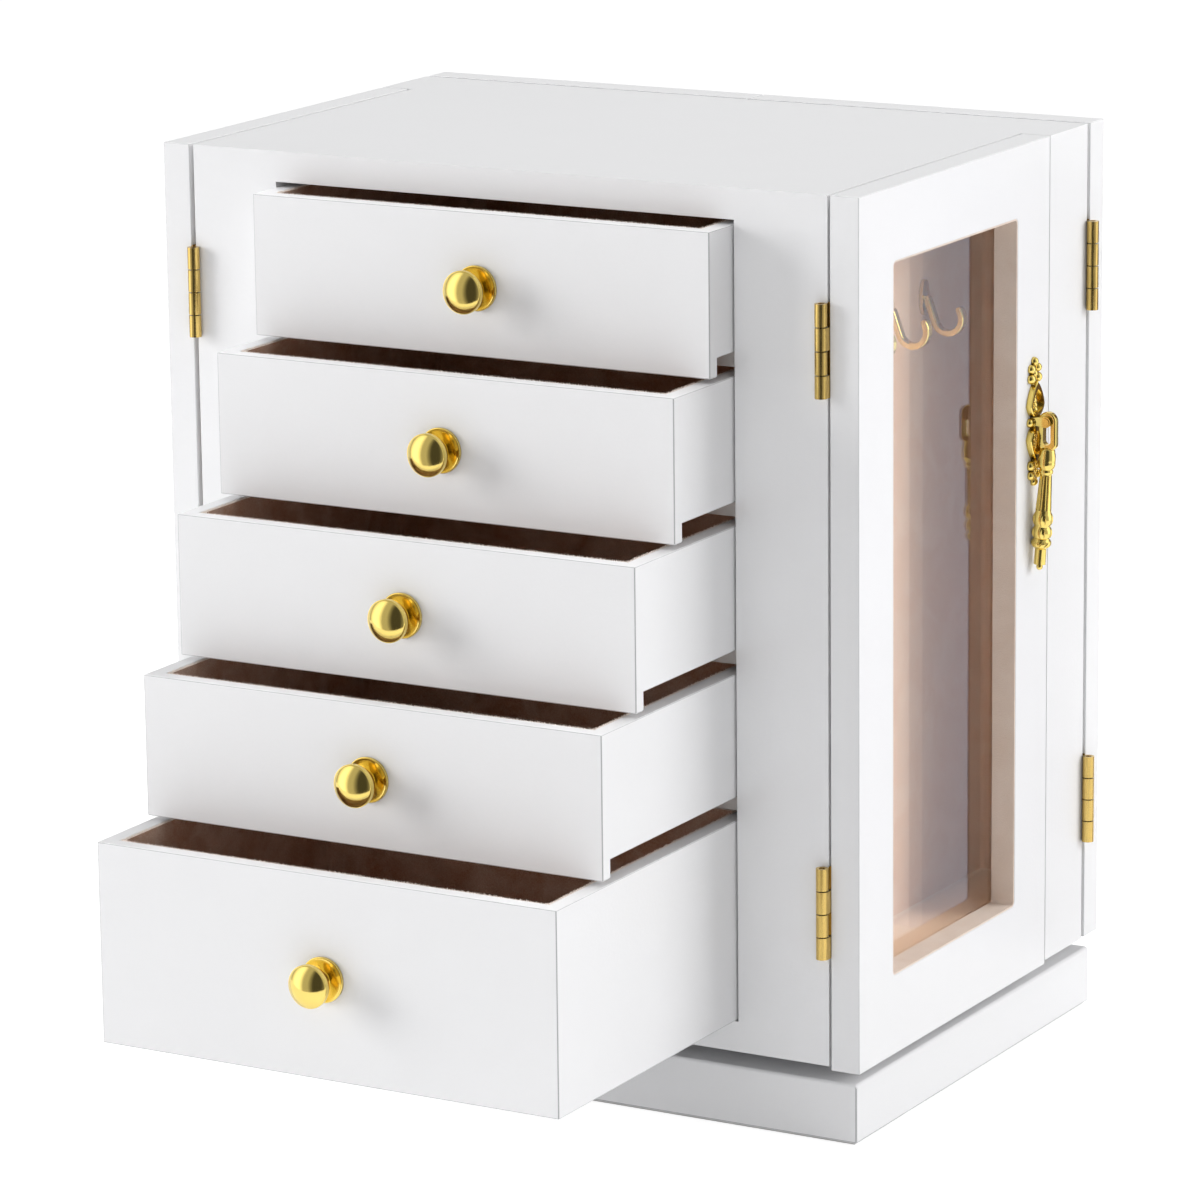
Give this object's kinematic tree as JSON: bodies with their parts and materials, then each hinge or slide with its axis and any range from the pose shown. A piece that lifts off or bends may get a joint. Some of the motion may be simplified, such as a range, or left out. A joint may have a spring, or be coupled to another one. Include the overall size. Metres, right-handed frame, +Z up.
{
  "type": "rotating jewelry box",
  "caption": "White jewellery cabinet on a turntable base, with drawers, glazed side doors over necklace compartments, and back doors.",
  "frame": {"origin": "on the turntable axis, at the underside of the base felt", "axes": "+Z up along the turntable axis, -Y towards the drawer fronts, +X towards the right door"},
  "size_m": [0.3122, 0.3581, 0.35],
  "materials": {
    "white_painted_board": "satin white lacquer",
    "drawer_lining": "short brown flock",
    "compartment_lining": "short tan flock",
    "window_jamb_lining": "short taupe flock",
    "gold_fittings": "polished gold plate",
    "brass_hinges": "brushed brass plate",
    "clear_glass": "clear polished",
    "bearing_steel": "zinc plated",
    "base_felt": "thin felt",
    "magnets": "nickel plated"
  },
  "bodies": {
    "base": {"base_rails": "white_painted_board", "base_top_board": "white_painted_board", "base_felt": "base_felt", "turntable_lower_plate": "bearing_steel", "turntable_lower_screws": "bearing_steel"},
    "ball_cage": {"turntable_ball_cage": "bearing_steel"},
    "cabinet": {"turntable_upper_plate": "bearing_steel", "turntable_upper_screws": "bearing_steel", "bottom_panel": "white_painted_board", "top_panel": "white_painted_board", "front_stiles": "white_painted_board", "rear_frame": "white_painted_board", "bay_panels": "white_painted_board", "drawer_shelves": "white_painted_board", "compartment_floors": "white_painted_board", "compartment_linings": "compartment_lining", "necklace_hooks": "gold_fittings", "carcass_hinge_halves": "brass_hinges", "hinge_pins": "brass_hinges", "door_magnets": "magnets"},
    "drawer_1": {"drawer_1_front": "white_painted_board", "drawer_1_box": "white_painted_board", "drawer_1_lining": "drawer_lining", "drawer_1_knob": "gold_fittings"},
    "drawer_2": {"drawer_2_front": "white_painted_board", "drawer_2_box": "white_painted_board", "drawer_2_lining": "drawer_lining", "drawer_2_knob": "gold_fittings"},
    "drawer_3": {"drawer_3_front": "white_painted_board", "drawer_3_box": "white_painted_board", "drawer_3_lining": "drawer_lining", "drawer_3_knob": "gold_fittings"},
    "drawer_4": {"drawer_4_front": "white_painted_board", "drawer_4_box": "white_painted_board", "drawer_4_lining": "drawer_lining", "drawer_4_knob": "gold_fittings"},
    "drawer_5": {"drawer_5_front": "white_painted_board", "drawer_5_box": "white_painted_board", "drawer_5_lining": "drawer_lining", "drawer_5_knob": "gold_fittings"},
    "right_door": {"right_door_frame": "white_painted_board", "right_door_jamb_lining": "window_jamb_lining", "right_door_glass": "clear_glass", "right_door_hardware": "brass_hinges", "right_door_pull_plate": "gold_fittings"},
    "right_pull_drop": {"right_door_pull_drop": "gold_fittings"},
    "back_right_door": {"back_right_door_panel": "white_painted_board", "back_right_door_hardware": "brass_hinges", "back_right_door_pull_plate": "gold_fittings"},
    "back_right_pull_drop": {"back_right_door_pull_drop": "gold_fittings"},
    "left_door": {"left_door_frame": "white_painted_board", "left_door_jamb_lining": "window_jamb_lining", "left_door_glass": "clear_glass", "left_door_hardware": "brass_hinges", "left_door_pull_plate": "gold_fittings"},
    "left_pull_drop": {"left_door_pull_drop": "gold_fittings"},
    "back_left_door": {"back_left_door_panel": "white_painted_board", "back_left_door_hardware": "brass_hinges", "back_left_door_pull_plate": "gold_fittings"},
    "back_left_pull_drop": {"back_left_door_pull_drop": "gold_fittings"}
  },
  "joints": [
    {"name": "turntable_spin", "type": "hinge", "parent": "base", "child": "cabinet", "pos_m": [0, 0, 0.0265], "axis": [0, 0, 1], "continuous": true},
    {"name": "ball_cage_spin", "type": "hinge", "parent": "base", "child": "ball_cage", "pos_m": [0, 0, 0.0265], "axis": [0, 0, 1], "continuous": true},
    {"name": "drawer_1_slide", "type": "slide", "parent": "cabinet", "child": "drawer_1", "axis": [0, -1, 0], "range_m": [-0.017, 0.113]},
    {"name": "drawer_2_slide", "type": "slide", "parent": "cabinet", "child": "drawer_2", "axis": [0, -1, 0], "range_m": [-0.0436, 0.0864]},
    {"name": "drawer_3_slide", "type": "slide", "parent": "cabinet", "child": "drawer_3", "axis": [0, -1, 0], "range_m": [-0.0725, 0.0575]},
    {"name": "drawer_4_slide", "type": "slide", "parent": "cabinet", "child": "drawer_4", "axis": [0, -1, 0], "range_m": [-0.0973, 0.0327]},
    {"name": "drawer_5_slide", "type": "slide", "parent": "cabinet", "child": "drawer_5", "axis": [0, -1, 0], "range_m": [-0.13, 0]},
    {"name": "right_door_hinge", "type": "hinge", "parent": "cabinet", "child": "right_door", "pos_m": [0.1322, -0.1042, 0.1913], "axis": [0, 0, -1], "range_deg": [0, 170]},
    {"name": "back_right_door_hinge", "type": "hinge", "parent": "cabinet", "child": "back_right_door", "pos_m": [0.1484, 0.0875, 0.19125], "axis": [0, 0, -1], "range_deg": [0, 170]},
    {"name": "right_pull_swing", "type": "hinge", "parent": "right_door", "child": "right_pull_drop", "pos_m": [0.1525, 0.0407, 0.2446], "axis": [0, -1, 0], "range_deg": [0, 80]},
    {"name": "back_right_pull_swing", "type": "hinge", "parent": "back_right_door", "child": "back_right_pull_drop", "pos_m": [0.0139, 0.1083, 0.2446], "axis": [1, 0, 0], "range_deg": [0, 80]},
    {"name": "left_door_hinge", "type": "hinge", "parent": "cabinet", "child": "left_door", "pos_m": [-0.1322, -0.1042, 0.1913], "axis": [0, 0, 1], "range_deg": [0, 170]},
    {"name": "back_left_door_hinge", "type": "hinge", "parent": "cabinet", "child": "back_left_door", "pos_m": [-0.1484, 0.0875, 0.19125], "axis": [0, 0, 1], "range_deg": [0, 170]},
    {"name": "left_pull_swing", "type": "hinge", "parent": "left_door", "child": "left_pull_drop", "pos_m": [-0.1525, 0.0407, 0.2446], "axis": [0, 1, 0], "range_deg": [0, 80]},
    {"name": "back_left_pull_swing", "type": "hinge", "parent": "back_left_door", "child": "back_left_pull_drop", "pos_m": [-0.0139, 0.1083, 0.2446], "axis": [1, 0, 0], "range_deg": [0, 80]}
  ],
  "couplings": [
    {"joint": "ball_cage_spin", "follows": "turntable_spin", "ratio": 0.5}
  ]
}
